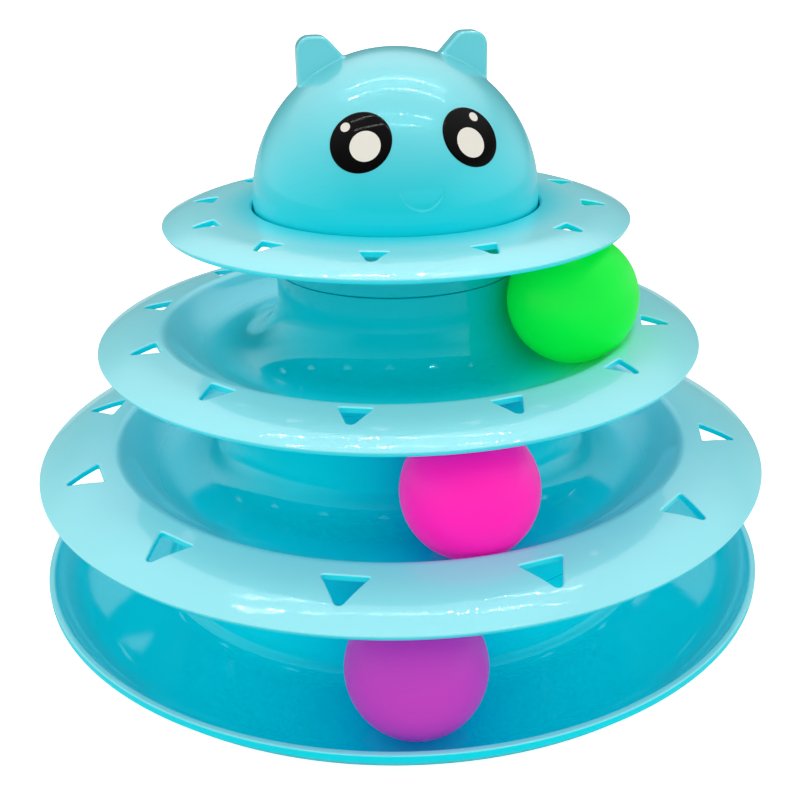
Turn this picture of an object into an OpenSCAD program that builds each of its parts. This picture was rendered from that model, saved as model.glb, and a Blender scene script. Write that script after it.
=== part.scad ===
// Ball track tower for a cat. A round tray carries two more ball tracks and a
// brim, plugged into each other through their hubs, with a cat's head on top.
// The tower axis is Z, the floor is z = 0 and the front is towards -Y.

/* [Tower] */
// Thickness of every moulded wall
wall = 2; // [1.4:0.1:2.2]
// How much higher than a ball each storey is, from floor to floor
storey_room = 1; // [0.5:0.1:9]
// Height of the tray's track floor above the ground
tray_floor_z = 5.5; // [4.8:0.1:9]
// How far the middle track's hub wall stands inside the head's radius
middle_hub_in = 6.1; // [5:0.1:8]
// How far the lower track's hub wall stands inside the ball circle above it
lower_hub_in = 5; // [3:0.1:7]
// How far the tray's hub wall stands outside the ball circle above it
tray_hub_out = 2.5; // [0:0.1:4]

/* [Balls] */
// Diameter of a ball
ball_d = 41; // [38:0.1:41.2]
// Wall of a hollow ball
ball_wall = 1.2; // [0.8:0.1:2]
// Height at which a ball is drawn above its track floor
ball_lift = 0.3; // [0.2:0.05:0.6]
// Side play between a ball and the hub that it rolls around
ball_play = 0.5; // [0.3:0.05:1.2]
// Where the purple ball stands, turned from the front towards +X
purple_turn = 2; // [-180:1:180]
// Where the pink ball stands
pink_turn = 15; // [-180:1:180]
// Where the green ball stands
green_turn = 64; // [-180:1:180]

/* [Tracks] */
// Sweep from the tray's hub wall into its floor
tray_sweep_r = 8; // [4:0.5:14]
// Sweep from the lower hub wall into its floor
lower_sweep_r = 14; // [6:0.5:19]
// Sweep from the middle hub wall into its floor
middle_sweep_r = 17; // [6:0.5:19]
// How much wider than a ball the outer side of a track is rolled
bowl_play = 0.8; // [0.5:0.1:1.6]
// Height of the lower track's lip above its floor
lower_lip_h = 10.8; // [8:0.1:12]
// Height of the middle track's lip above its floor
middle_lip_h = 8.1; // [6.5:0.1:9]
// Steepness of a track's outer side where it meets the lip
climb = 45; // [35:1:55]
// Rounding of the lip between track and flange
lip_round = 4; // [3:0.1:6]
// Fall of the flanges behind their lips
flange_fall = 5.5; // [3:0.5:7]
// Fall that a flange has reached at its rim, where it curves down the most
edge_fall = 28; // [20:1:32]
// Radius of the curve in which the lower flange turns down to its rim
lower_curve_r = 50; // [30:1:58]
// Radius of that curve of the middle flange
middle_curve_r = 38; // [24:1:44]

/* [Tray] */
// How far the tray's rim stands outside its ball
tray_margin = 4; // [2:0.1:15]
// Height of the tray's rim above its track floor
tray_rim_h = 10; // [8:0.1:13]
// Bend from the tray's floor up into its rim
tray_bend_r = 16; // [14:0.5:20]
// Height of the collar that stiffens the tray's rim
tray_band_h = 2.6; // [2:0.1:4]
// How far that collar stands out from the tray's wall
tray_band_w = 1; // [0.5:0.1:2]

/* [Foot pads] */
// Diameter of a pad
pad_d = 16; // [12:0.5:18]
// Height of the moulded ring that holds a pad
pad_ring_h = 1.6; // [1:0.1:2]
// Width of that ring's wall
pad_ring_w = 1.4; // [1:0.1:2]
// Play around a pad in its ring
pad_play = 0.1; // [0.05:0.01:0.3]

/* [Plug joints] */
// Height of a seam above its track's floor, as a share of the storey
seam_share = 0.612; // [0.57:0.001:0.7]
// Height of the spigot above the seam
spigot_h = 6; // [4:0.1:9]
// Play between a spigot and the collar over it
spigot_play = 0.2; // [0.1:0.05:0.4]
// Open seam between a collar and the shoulder below it
seam_gap = 0.2; // [0.1:0.05:0.5]

/* [Triangular holes] */
// Number of holes in the lower flange and in each flange above it
hole_count = 12; // [8:1:12]
// Turn of the holes from the front towards -X
hole_turn = 8.5; // [0:0.5:15]
// Turn of the brim's holes
brim_hole_turn = 6; // [0:0.5:15]
// Width of a hole in the lower flange along its straight side
lower_hole_w = 14; // [10:0.5:16]
// Length of a hole in the lower flange, outwards
lower_hole_l = 11; // [8:0.5:13]
// Land between the lower track's lip and its holes
lower_hole_land = 5.3; // [3:0.1:8]
// Land between these holes and the lower flange's edge
lower_hole_margin = 8.7; // [6:0.1:13]
// Width of a hole in the middle flange
middle_hole_w = 10; // [8:0.5:12]
// Length of a hole in the middle flange
middle_hole_l = 8.6; // [6:0.1:10]
// Land between the middle track's lip and its holes
middle_hole_land = 1.6; // [1:0.1:4]
// Land between these holes and the middle flange's edge
middle_hole_margin = 10; // [6:0.1:14]
// Width of a hole in the brim
brim_hole_w = 8.5; // [6:0.5:10]
// Length of a hole in the brim
brim_hole_l = 7.4; // [5:0.1:9]
// Land between the brim's inner edge and its holes
brim_hole_land = 13.4; // [11:0.1:16]
// Land between these holes and the brim's edge
brim_hole_margin = 8.1; // [6:0.1:14]
// Rounding of the outward corner of a hole
hole_tip_round = 1.6; // [1:0.1:2]

/* [Brim] */
// Play between the head and the round seat that takes it
seat_play = 0.5; // [0.3:0.1:1.9]
// Depth of that seat below the brim
seat_depth = 4.1; // [3.5:0.1:6]
// How far the ledge under the head reaches into the hub
ledge_reach = 5; // [3:0.1:8]
// How much higher than a ball that ledge lies above the middle track's floor
ledge_room = 1.6; // [1:0.1:1.9]
// Fall of the brim behind its seat
brim_fall = 2.5; // [1:0.5:5]
// Radius of the curve in which the brim turns down to its rim
brim_curve_r = 30; // [20:1:40]
// Rounding of the seat's edge
seat_round = 1; // [0.5:0.1:1.5]

/* [Head] */
// Radius of the domed head
dome_r = 46.1; // [42:0.1:54]
// Height of the dome's centre above the ledge that it stands on
dome_rise = 5.7; // [5:0.1:9]
// Play under the head's skirt
head_gap = 0.2; // [0.1:0.05:0.5]
// Turn of the face from the front towards +X
face_turn = 10; // [-45:1:45]

/* [Ears] */
// Distance from the head's middle to an ear's outer edge, as a share of the dome
ear_out_share = 0.65; // [0.56:0.01:0.7]
// Height of an ear's top above the dome
ear_rise = 3.9; // [2:0.1:10]
// Rounding of the ear's top corners
ear_round = 4.3; // [3:0.1:5]
// Flat width between the two rounded corners of an ear's top
ear_flat_w = 2.6; // [1:0.1:4]
// Lean of an ear's inner edge from upright
ear_lean = 43; // [35:1:50]
// Thickness of an ear from front to back
ear_t = 9; // [6:0.5:12]
// How far an ear's face stands in front of the dome's middle
ear_front = 1.5; // [0:0.1:4]
// Bevel around an ear's face
ear_bevel = 1.1; // [0.6:0.1:2]
// Bevel around an ear's back
ear_back_bevel = 2.4; // [1:0.1:3.5]

/* [Face] */
// Diameter of a stuck-on eye
eye_d = 18.5; // [15:0.5:21]
// Thickness of the eye's foil
eye_t = 0.3; // [0.15:0.05:0.6]
// Gap that keeps the foil clear of the dome's facets
eye_gap = 0.04; // [0.02:0.01:0.1]
// Angle of an eye to each side of the face's middle
eye_side = 24.6; // [20:0.1:28]
// Angle of the eyes above the dome's centre
eye_up = 31.5; // [25:0.1:36]
// Diameter of the white pupil, as a share of the eye
pupil_share = 0.508; // [0.38:0.01:0.56]
// How far the pupil is set from the eye's middle, away from its glint, as a share of the eye
pupil_shift_share = 0.119; // [0.05:0.01:0.16]
// Diameter of the small white glint, as a share of the eye
glint_share = 0.173; // [0.11:0.01:0.2]
// How far the glint is set from the eye's middle, as a share of the eye
glint_shift_share = 0.351; // [0.33:0.01:0.37]
// Turn of the left eye's glint, outwards from upright
left_glint_turn = 50; // [0:1:60]
// Turn of the right eye's glint
right_glint_turn = 29; // [0:1:60]
// Gap between the white and the black areas of the foil
print_gap = 0.03; // [0.02:0.01:0.1]
// Width of the mouth
mouth_w = 13.4; // [8:0.1:16]
// Height of the mouth from its straight lip down
mouth_h = 7.6; // [5:0.1:10]
// Depth of the mouth's recess
mouth_depth = 0.8; // [0.4:0.1:1]
// Angle of the mouth's straight lip above the dome's centre
mouth_up = 16; // [12:0.5:20]

/* [Hidden] */

$fn = 96;
ear_fn = 32;
arc_steps = 9;
dome_steps = 24;
overrun = 1;
slice = 0.1;

shell_colour = [0.24, 0.80, 0.86];
purple_colour = [0.67, 0.29, 0.71];
pink_colour = [0.96, 0.14, 0.69];
green_colour = [0.0, 0.84, 0.24];
black_colour = [0.02, 0.02, 0.03];
white_colour = [0.90, 0.89, 0.87];
rubber_colour = [0.85, 0.87, 0.88];

ball_r = ball_d / 2;
pad_r = pad_d / 2;
storey_h = ball_d + storey_room;
seam_h = seam_share * storey_h;
bowl_r = ball_r + bowl_play;
middle_hub_r = dome_r - middle_hub_in;
middle_track_r = middle_hub_r + ball_r + ball_play;
lower_hub_r = middle_track_r - lower_hub_in;
lower_track_r = lower_hub_r + ball_r + ball_play;
tray_hub_r = lower_track_r + tray_hub_out;
tray_track_r = tray_hub_r + ball_r + ball_play;
tray_r = tray_track_r + ball_r + tray_margin;
lower_floor_z = tray_floor_z + storey_h;
middle_floor_z = lower_floor_z + storey_h;
ledge_z = middle_floor_z + ball_d + ledge_room;
brim_top_z = ledge_z + seat_depth;
dome_z = ledge_z + dome_rise;
seat_r = dome_r + seat_play;
brim_hole_r = seat_r + brim_hole_land;
brim_r = brim_hole_r + brim_hole_l + brim_hole_margin;
ear_out = ear_out_share * dome_r;
ear_top = dome_r + ear_rise;
pupil_d = pupil_share * eye_d;
pupil_shift = pupil_shift_share * eye_d;
glint_d = glint_share * eye_d;
glint_shift = glint_shift_share * eye_d;
tray_under_z = tray_floor_z - wall;
pad_count = 6;
pad_ring_z = tray_under_z - pad_ring_h;
pad_place_r = tray_r - tray_bend_r - pad_r - pad_ring_w;

// Points of an arc from one angle to another
function arc(c, r, from, to, n = arc_steps) =
    [for (i = [0:n]) let (a = from + (to - from) * i / n) [c[0] + r * cos(a), c[1] + r * sin(a)]];

function reversed(p) = [for (i = [len(p) - 1:-1:0]) p[i]];

// Radius of a track's lip, where its outer side runs into the rounding of the lip
function lip_radius(track_r, lip_h) =
    let (dz = lip_h - lip_round - bowl_r)
    track_r + (dz * cos(climb) + bowl_r + lip_round) / sin(climb);

// Centre of the curve that ends at a rim. A straight fall joins it to the rounding r about c.
function curve_centre(c, r, fall, rim_r, curve_r) =
    let (x = rim_r - curve_r * sin(edge_fall),
         run = x - c[0] + (curve_r - r) * sin(fall))
    [x, c[1] - (curve_r - r) * cos(fall) - run * tan(fall)];

lower_lip_r = lip_radius(lower_track_r, lower_lip_h);
lower_hole_r = lower_lip_r + lower_hole_land;
lower_r = lower_hole_r + lower_hole_l + lower_hole_margin;
middle_lip_r = lip_radius(middle_track_r, middle_lip_h);
middle_hole_r = middle_lip_r + middle_hole_land;
middle_r = middle_hole_r + middle_hole_l + middle_hole_margin;

// Section of a track from its sweep to its rim, at a depth below the top skin
function track_skin(hub_r, floor_z, sweep_r, track_r, lip_h, rim_r, curve_r, depth) =
    let (lip = [lip_radius(track_r, lip_h), floor_z + lip_h - lip_round],
         curve = curve_centre(lip, lip_round, flange_fall, rim_r, curve_r))
    concat(arc([hub_r + sweep_r, floor_z + sweep_r], sweep_r + depth, 180, 270),
           arc([track_r, floor_z + bowl_r], bowl_r + depth, 270, 270 + climb),
           arc(lip, lip_round - depth, 90 + climb, 90 - flange_fall),
           arc(curve, curve_r - depth, 90 - flange_fall, 90 - edge_fall));

// Section of a hub's top with its shoulder and spigot, at a depth below the skin
function hub_skin(hub_r, floor_z, depth) =
    let (seam_z = floor_z + seam_h, spigot_r = hub_r - wall - spigot_play)
    [[spigot_r - depth, seam_z + spigot_h],
     [spigot_r - depth, seam_z - depth],
     [hub_r - depth, seam_z - depth]];

module ring(r_in, r_out, z0, z1)
{
    rotate_extrude()
        translate([r_in, z0])
            square([r_out - r_in, z1 - z0]);
}

// Collar under a storey that drops over the spigot of the hub below it
module collar(hub_r, below_floor_z, top_z)
{
    ring(hub_r - wall, hub_r, below_floor_z + seam_h + seam_gap, top_z);
}

// Rounded triangle: straight side of width w on the X axis, tip at distance l along Y
module triangle(w, l)
{
    lean = atan2(w / 2, l);
    tip = [0, l - hole_tip_round];
    polygon(concat([[-w / 2, 0], [w / 2, 0]], arc(tip, hole_tip_round, lean, 180 - lean)));
}

module triangle_holes(w, l, r, z, turn)
{
    for (i = [0:hole_count - 1])
        rotate([0, 0, 180 - turn + i * 360 / hole_count])
            translate([0, r, z - lip_round - 2 * wall])
                linear_extrude(2 * (lip_round + 2 * wall))
                    triangle(w, l);
}

module track_storey(hub_r, below_hub_r, floor_z, sweep_r, track_r, lip_h, rim_r, curve_r)
{
    top = track_skin(hub_r, floor_z, sweep_r, track_r, lip_h, rim_r, curve_r, 0);
    under = track_skin(hub_r, floor_z, sweep_r, track_r, lip_h, rim_r, curve_r, wall);
    rotate_extrude()
        polygon(concat(hub_skin(hub_r, floor_z, 0),
                       top,
                       reversed(under),
                       reversed(hub_skin(hub_r, floor_z, wall))));
    collar(below_hub_r, floor_z - storey_h, floor_z - wall / 2);
}

// Section of the tray's rim, from its floor up, at a depth below the top skin
function tray_bend(depth) =
    let (turn = acos(1 - tray_rim_h / tray_bend_r),
         bend = [tray_r - wall - tray_bend_r * sin(turn), tray_floor_z + tray_bend_r])
    arc(bend, tray_bend_r + depth, 270, 270 + turn);

module base_tray()
{
    rim_z = tray_floor_z + tray_rim_h;
    sweep = [tray_hub_r + tray_sweep_r, tray_floor_z + tray_sweep_r];
    outer = reversed(tray_bend(wall));
    under_rim = [for (p = outer) if (p[1] < rim_z - tray_band_h - tray_band_w) p];
    color(shell_colour)
    difference()
    {
        union()
        {
            rotate_extrude()
                polygon(concat(hub_skin(tray_hub_r, tray_floor_z, 0),
                               arc(sweep, tray_sweep_r, 180, 270),
                               tray_bend(0),
                               [[tray_r, rim_z], [tray_r, rim_z - tray_band_h]],
                               [[tray_r - tray_band_w, rim_z - tray_band_h]],
                               under_rim,
                               reversed(arc(sweep, tray_sweep_r + wall, 180, 270)),
                               reversed(hub_skin(tray_hub_r, tray_floor_z, wall))));
            for (i = [1:pad_count])
                at_pad(i)
                    translate([0, 0, pad_ring_z])
                        cylinder(r = pad_r + pad_play + pad_ring_w, h = pad_ring_h + wall / 2);
        }
        for (i = [1:pad_count])
            at_pad(i)
                translate([0, 0, -overrun])
                    cylinder(r = pad_r + pad_play, h = tray_under_z + overrun);
    }
}

module at_pad(i)
{
    rotate([0, 0, (i - 0.5) * 360 / pad_count])
        translate([pad_place_r, 0, 0])
            children();
}

module foot_pad(i)
{
    color(rubber_colour)
        at_pad(i)
            cylinder(r = pad_r, h = tray_under_z);
}

module lower_track()
{
    color(shell_colour)
    difference()
    {
        track_storey(lower_hub_r, tray_hub_r, lower_floor_z, lower_sweep_r, lower_track_r,
                     lower_lip_h, lower_r, lower_curve_r);
        triangle_holes(lower_hole_w, lower_hole_l, lower_hole_r,
                       lower_floor_z + lower_lip_h, hole_turn);
    }
}

module middle_track()
{
    color(shell_colour)
    difference()
    {
        track_storey(middle_hub_r, lower_hub_r, middle_floor_z, middle_sweep_r, middle_track_r,
                     middle_lip_h, middle_r, middle_curve_r);
        triangle_holes(middle_hole_w, middle_hole_l, middle_hole_r,
                       middle_floor_z + middle_lip_h, hole_turn);
    }
}

// Section of the brim's curve down to its rim, at a depth below its top skin
function brim_skin(edge, depth) =
    let (curve = curve_centre(edge, seat_round, brim_fall, brim_r, brim_curve_r))
    arc(curve, brim_curve_r - depth, 90 - brim_fall, 90 - edge_fall);

module top_brim()
{
    edge = [seat_r + seat_round, brim_top_z - seat_round];
    seat_out = seat_r + wall;
    ledge_in_r = middle_hub_r - wall - ledge_reach;
    plate_under_z = edge[1] - (wall - seat_round) * (tan(brim_fall) + 1 / cos(brim_fall));
    color(shell_colour)
    difference()
    {
        union()
        {
            rotate_extrude()
                polygon(concat([[ledge_in_r, ledge_z], [seat_r, ledge_z]],
                               arc(edge, seat_round, 180, 90 - brim_fall),
                               brim_skin(edge, 0),
                               reversed(brim_skin(edge, wall)),
                               [[seat_out, plate_under_z], [seat_out, ledge_z - wall]],
                               [[ledge_in_r, ledge_z - wall]]));
            collar(middle_hub_r, middle_floor_z, ledge_z - wall / 2);
        }
        triangle_holes(brim_hole_w, brim_hole_l, brim_hole_r, brim_top_z, brim_hole_turn);
    }
}

// Places its children on the dome, with Z pointing out of it
module on_dome(side, up)
{
    translate([0, 0, dome_z])
        rotate([0, 0, face_turn + side])
            rotate([90 - up, 0, 0])
                children();
}

// Outline of the right ear in the head's middle plane, drawn in from its edge
module ear_outline(inset)
{
    outer = [ear_out - ear_round, ear_top - ear_round];
    inner = outer - [ear_flat_w, 0];
    r = ear_round - inset;
    run = inner[1] + r * sin(ear_lean);
    foot_x = inner[0] - r * cos(ear_lean) - run * tan(ear_lean);
    polygon(concat([[ear_out - inset, 0]],
                   arc(outer, r, 0, 90),
                   arc(inner, r, 90, 180 - ear_lean),
                   [[foot_x, 0]]));
}

module ear_slice(inset, y)
{
    translate([0, y, 0])
        rotate([90, 0, 0])
            linear_extrude(slice)
                ear_outline(inset);
}

// Solid of an ear, drawn in all round by a margin
module ear(margin)
{
    front_y = -ear_front + margin;
    back_y = ear_t - ear_front - margin;
    hull()
    {
        ear_slice(margin + ear_bevel, front_y + slice);
        ear_slice(margin, front_y + ear_bevel);
        ear_slice(margin, back_y - ear_back_bevel);
        ear_slice(margin + ear_back_bevel, back_y);
    }
}

module both_ears(margin)
{
    translate([0, 0, dome_z])
        rotate([0, 0, face_turn])
            for (side = [0, 1])
                mirror([side, 0, 0])
                    intersection()
                    {
                        ear(margin);
                        translate([0, -dome_r, 0])
                            cube([dome_r, 2 * dome_r, ear_top + overrun]);
                    }
}

module dome_solid(r)
{
    skirt_z = ledge_z + head_gap;
    rotate_extrude()
        polygon(concat([[0, skirt_z], [r, skirt_z]], arc([0, dome_z], r, 0, 90, dome_steps)));
}

module cat_head()
{
    color(shell_colour)
    difference()
    {
        union()
        {
            dome_solid(dome_r);
            both_ears(0);
        }
        translate([0, 0, -overrun])
            dome_solid(dome_r - wall);
        dome_solid(dome_r - wall);
        both_ears(wall);
        mouth_recess();
    }
}

module mouth_recess()
{
    on_dome(0, mouth_up)
        difference()
        {
            translate([0, 0, dome_r - 2 * wall])
                linear_extrude(3 * wall)
                    polygon([for (i = [0:2 * arc_steps])
                        let (a = 180 * i / (2 * arc_steps))
                        [mouth_w / 2 * cos(a), -mouth_h * sin(a)]]);
            sphere(r = dome_r - mouth_depth);
        }
}

// Skin of the dome's foil inside a circle
module foil(r)
{
    intersection()
    {
        difference()
        {
            sphere(r = dome_r + eye_gap + eye_t);
            sphere(r = dome_r + eye_gap);
        }
        cylinder(r = r, h = 2 * dome_r);
    }
}

// Round areas of an eye: the pupil and the glint, grown by a margin
module eye_spots(turn, margin)
{
    rotate([0, 0, turn])
    {
        translate([0, -pupil_shift, 0])
            cylinder(r = pupil_d / 2 + margin, h = 2 * dome_r);
        translate([0, glint_shift, 0])
            cylinder(r = glint_d / 2 + margin, h = 2 * dome_r);
    }
}

// Black foil of an eye, open where it is white
module eye_black(side, turn)
{
    color(black_colour)
        on_dome(side * eye_side, eye_up)
            difference()
            {
                foil(eye_d / 2);
                eye_spots(-side * turn, print_gap);
            }
}

module eye_white(side, turn)
{
    color(white_colour)
        on_dome(side * eye_side, eye_up)
            intersection()
            {
                foil(eye_d / 2);
                eye_spots(-side * turn, 0);
            }
}

// Hollow ball on its track, turned from the front towards +X
module ball(track_r, floor_z, turn)
{
    rotate([0, 0, turn])
        translate([0, -track_r, floor_z + ball_lift + ball_r])
            difference()
            {
                sphere(r = ball_r);
                sphere(r = ball_r - ball_wall);
            }
}

module ball_purple()
{
    color(purple_colour)
        ball(tray_track_r, tray_floor_z, purple_turn);
}

module ball_pink()
{
    color(pink_colour)
        ball(lower_track_r, lower_floor_z, pink_turn);
}

module ball_green()
{
    color(green_colour)
        ball(middle_track_r, middle_floor_z, green_turn);
}

base_tray();
lower_track();
middle_track();
top_brim();
cat_head();
eye_black(-1, left_glint_turn);  // eye_left
eye_black(1, right_glint_turn);  // eye_right
eye_white(-1, left_glint_turn);  // eye_white_left
eye_white(1, right_glint_turn);  // eye_white_right
ball_purple();
ball_pink();
ball_green();
foot_pad(1);  // foot_pad_1
foot_pad(2);  // foot_pad_2
foot_pad(3);  // foot_pad_3
foot_pad(4);  // foot_pad_4
foot_pad(5);  // foot_pad_5
foot_pad(6);  // foot_pad_6
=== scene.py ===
import bmesh
import bpy
import numpy as np
from mathutils import Matrix


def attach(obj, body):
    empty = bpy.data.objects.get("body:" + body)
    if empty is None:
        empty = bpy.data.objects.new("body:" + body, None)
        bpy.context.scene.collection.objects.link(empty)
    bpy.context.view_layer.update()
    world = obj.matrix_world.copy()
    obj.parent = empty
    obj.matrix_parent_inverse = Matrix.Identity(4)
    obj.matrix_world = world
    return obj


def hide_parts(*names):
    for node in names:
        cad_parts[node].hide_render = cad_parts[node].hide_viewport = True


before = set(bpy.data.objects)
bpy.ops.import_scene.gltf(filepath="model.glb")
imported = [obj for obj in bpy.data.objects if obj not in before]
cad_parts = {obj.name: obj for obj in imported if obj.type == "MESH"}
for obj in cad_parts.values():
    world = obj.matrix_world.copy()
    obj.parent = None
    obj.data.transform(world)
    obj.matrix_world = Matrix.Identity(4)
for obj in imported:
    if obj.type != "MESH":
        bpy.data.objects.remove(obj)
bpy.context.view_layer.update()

# base tray
# The bottom moulding: a round ABS tray with a rolled ball track, an upturned rim with a
# stiffening collar, six rings that hold the pads, and a hub with a spigot for the storey above.
# Sizes are in mm. COLUMNS is the number of steps in which an outline is carried round.
MM = 0.001
WALL = 2.0
STOREY_H = 42.0
SEAM_H = 0.612 * STOREY_H
SPIGOT_H = 6.0
PLUG_GAP = 0.2
TRAY_FLOOR = 5.5
TRAY_HUB_R = 79.5
TRAY_SWEEP_R = 8.0
TRAY_R = 125.0
TRAY_RIM_H = 10.0
TRAY_BEND_R = 16.0
RIM_COLLAR_H = 2.6
PAD_COUNT = 6
PAD_R = 8.0
PAD_CIRCLE_R = 99.6
SHELL_COLOUR = (0.0, 0.84, 0.96, 1)
# the pale colour is painted sheen, mixed in where light falls on upper sides
PAINTED_SHEEN_COLOUR = (0.33, 0.92, 1.0, 1)
MIRROR_TINT = (0.30, 0.95, 1.0, 1)
SATIN_ROUGHNESS = 0.38
SATIN_COAT = 0.5
COLUMNS = 432


def arc(centre, radius, start, stop, count=12):
    """Points centre + radius (cos a, sin a), with a even from start to stop in degrees."""
    a = np.radians(np.linspace(start, stop, count))
    return np.stack([centre[0] + radius * np.cos(a), centre[1] + radius * np.sin(a)], -1)


def eased(corners, ease):
    """Closed outline in which a corner P, with A and B on its two sides at the distance ease,
    becomes the curve (1-t)^2 A + 2t(1-t) P + t^2 B."""
    p = np.asarray(corners, float)
    e = np.broadcast_to(ease, len(p))[:, None]
    before, after = np.roll(p, 1, 0) - p, np.roll(p, -1, 0) - p
    a = p + e * before / np.linalg.norm(before, axis=1, keepdims=True)
    b = p + e * after / np.linalg.norm(after, axis=1, keepdims=True)
    t = np.linspace(0, 1, 5)[None, :, None]
    q = ((1 - t) ** 2 * a[:, None] + 2 * t * (1 - t) * p[:, None] + t * t * b[:, None]).reshape(-1, 2)
    return q[np.linalg.norm(q - np.roll(q, 1, 0), axis=1) > 1e-5]


def joined(*parts):
    """Corners and their easings, set one after the other: each part is (points, ease)."""
    points = np.concatenate([np.atleast_2d(p) for p, e in parts])
    ease = np.concatenate([np.full(len(np.atleast_2d(p)), float(e)) for p, e in parts])
    return points, ease


def turned(outline, first=0.0):
    """Closed outline (r, z) carried round the Z axis: (r cos a, r sin a, z)."""
    r, z = np.append(outline, outline[:1], 0).T
    a = np.radians(first + np.arange(COLUMNS + 1) % COLUMNS * 360 / COLUMNS)[:, None]
    return np.stack([r * np.cos(a), r * np.sin(a), z + 0 * a], -1)


def outward(work):
    """Turns each loose shell whose signed volume, the sum of a . (b x c) / 6 over the
    triangles of its faces, is negative."""
    left = set(work.faces)
    while left:
        shell, volume = [left.pop()], 0.0
        for face in shell:
            a, *rest = [v.co for v in face.verts]
            volume += sum(a.dot(b.cross(c)) for b, c in zip(rest, rest[1:]))
            beside = {other for edge in face.edges for other in edge.link_faces} & left
            left -= beside
            shell.extend(beside)
        if volume < 0:
            bmesh.ops.reverse_faces(work, faces=shell)


def moulding(name, sheets):
    """One mesh of several sheets. A sheet is a grid of points in mm, and where it has a mask,
    only the cells that the mask keeps. Equal points are merged, the faces point outwards, and
    edges of more than 48 degrees stay sharp."""
    points, faces, count = [], [], 0
    for grid, keep in sheets:
        m, n = grid.shape[:2]
        index = np.arange(m * n).reshape(m, n) + count
        cells = np.stack([index[:-1, :-1], index[1:, :-1], index[1:, 1:], index[:-1, 1:]], -1)
        faces.append(cells.reshape(-1, 4) if keep is None else cells[keep])
        points.append(grid.reshape(-1, 3))
        count += m * n
    mesh = bpy.data.meshes.new(name)
    mesh.from_pydata((np.concatenate(points) * MM).tolist(), [], np.concatenate(faces).tolist())
    work = bmesh.new()
    work.from_mesh(mesh)
    bmesh.ops.remove_doubles(work, verts=work.verts, dist=1.5e-6)
    bmesh.ops.dissolve_degenerate(work, edges=work.edges, dist=1e-6)
    bmesh.ops.recalc_face_normals(work, faces=work.faces)
    outward(work)
    work.to_mesh(mesh)
    work.free()
    mesh.polygons.foreach_set("use_smooth", np.ones(len(mesh.polygons), bool))
    mesh.set_sharp_from_angle(angle=np.radians(48))
    piece = bpy.data.objects.new(name, mesh)
    bpy.context.scene.collection.objects.link(piece)
    return piece


def wire(tree, kind, settings, inputs):
    """Adds a shader node, sets its properties, and sets or links its inputs."""
    node = tree.nodes.new(kind)
    for key, value in settings.items():
        setattr(node, key, value)
    for key, value in inputs.items():
        if isinstance(value, bpy.types.NodeSocket):
            tree.links.new(value, node.inputs[key])
        else:
            node.inputs[key].default_value = value
    return node


def calc(tree, operation, *values):
    """Result of a Math node on its values."""
    return wire(tree, "ShaderNodeMath", {"operation": operation}, dict(enumerate(values))).outputs[0]


def ramp(tree, value, start, stop, low, high, curve="LINEAR"):
    """Goes from low, where value is start, to high, where it is stop."""
    return wire(tree, "ShaderNodeMapRange", {"interpolation_type": curve}, {
        "Value": value, "From Min": start, "From Max": stop, "To Min": low, "To Max": high}).outputs[0]


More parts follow.
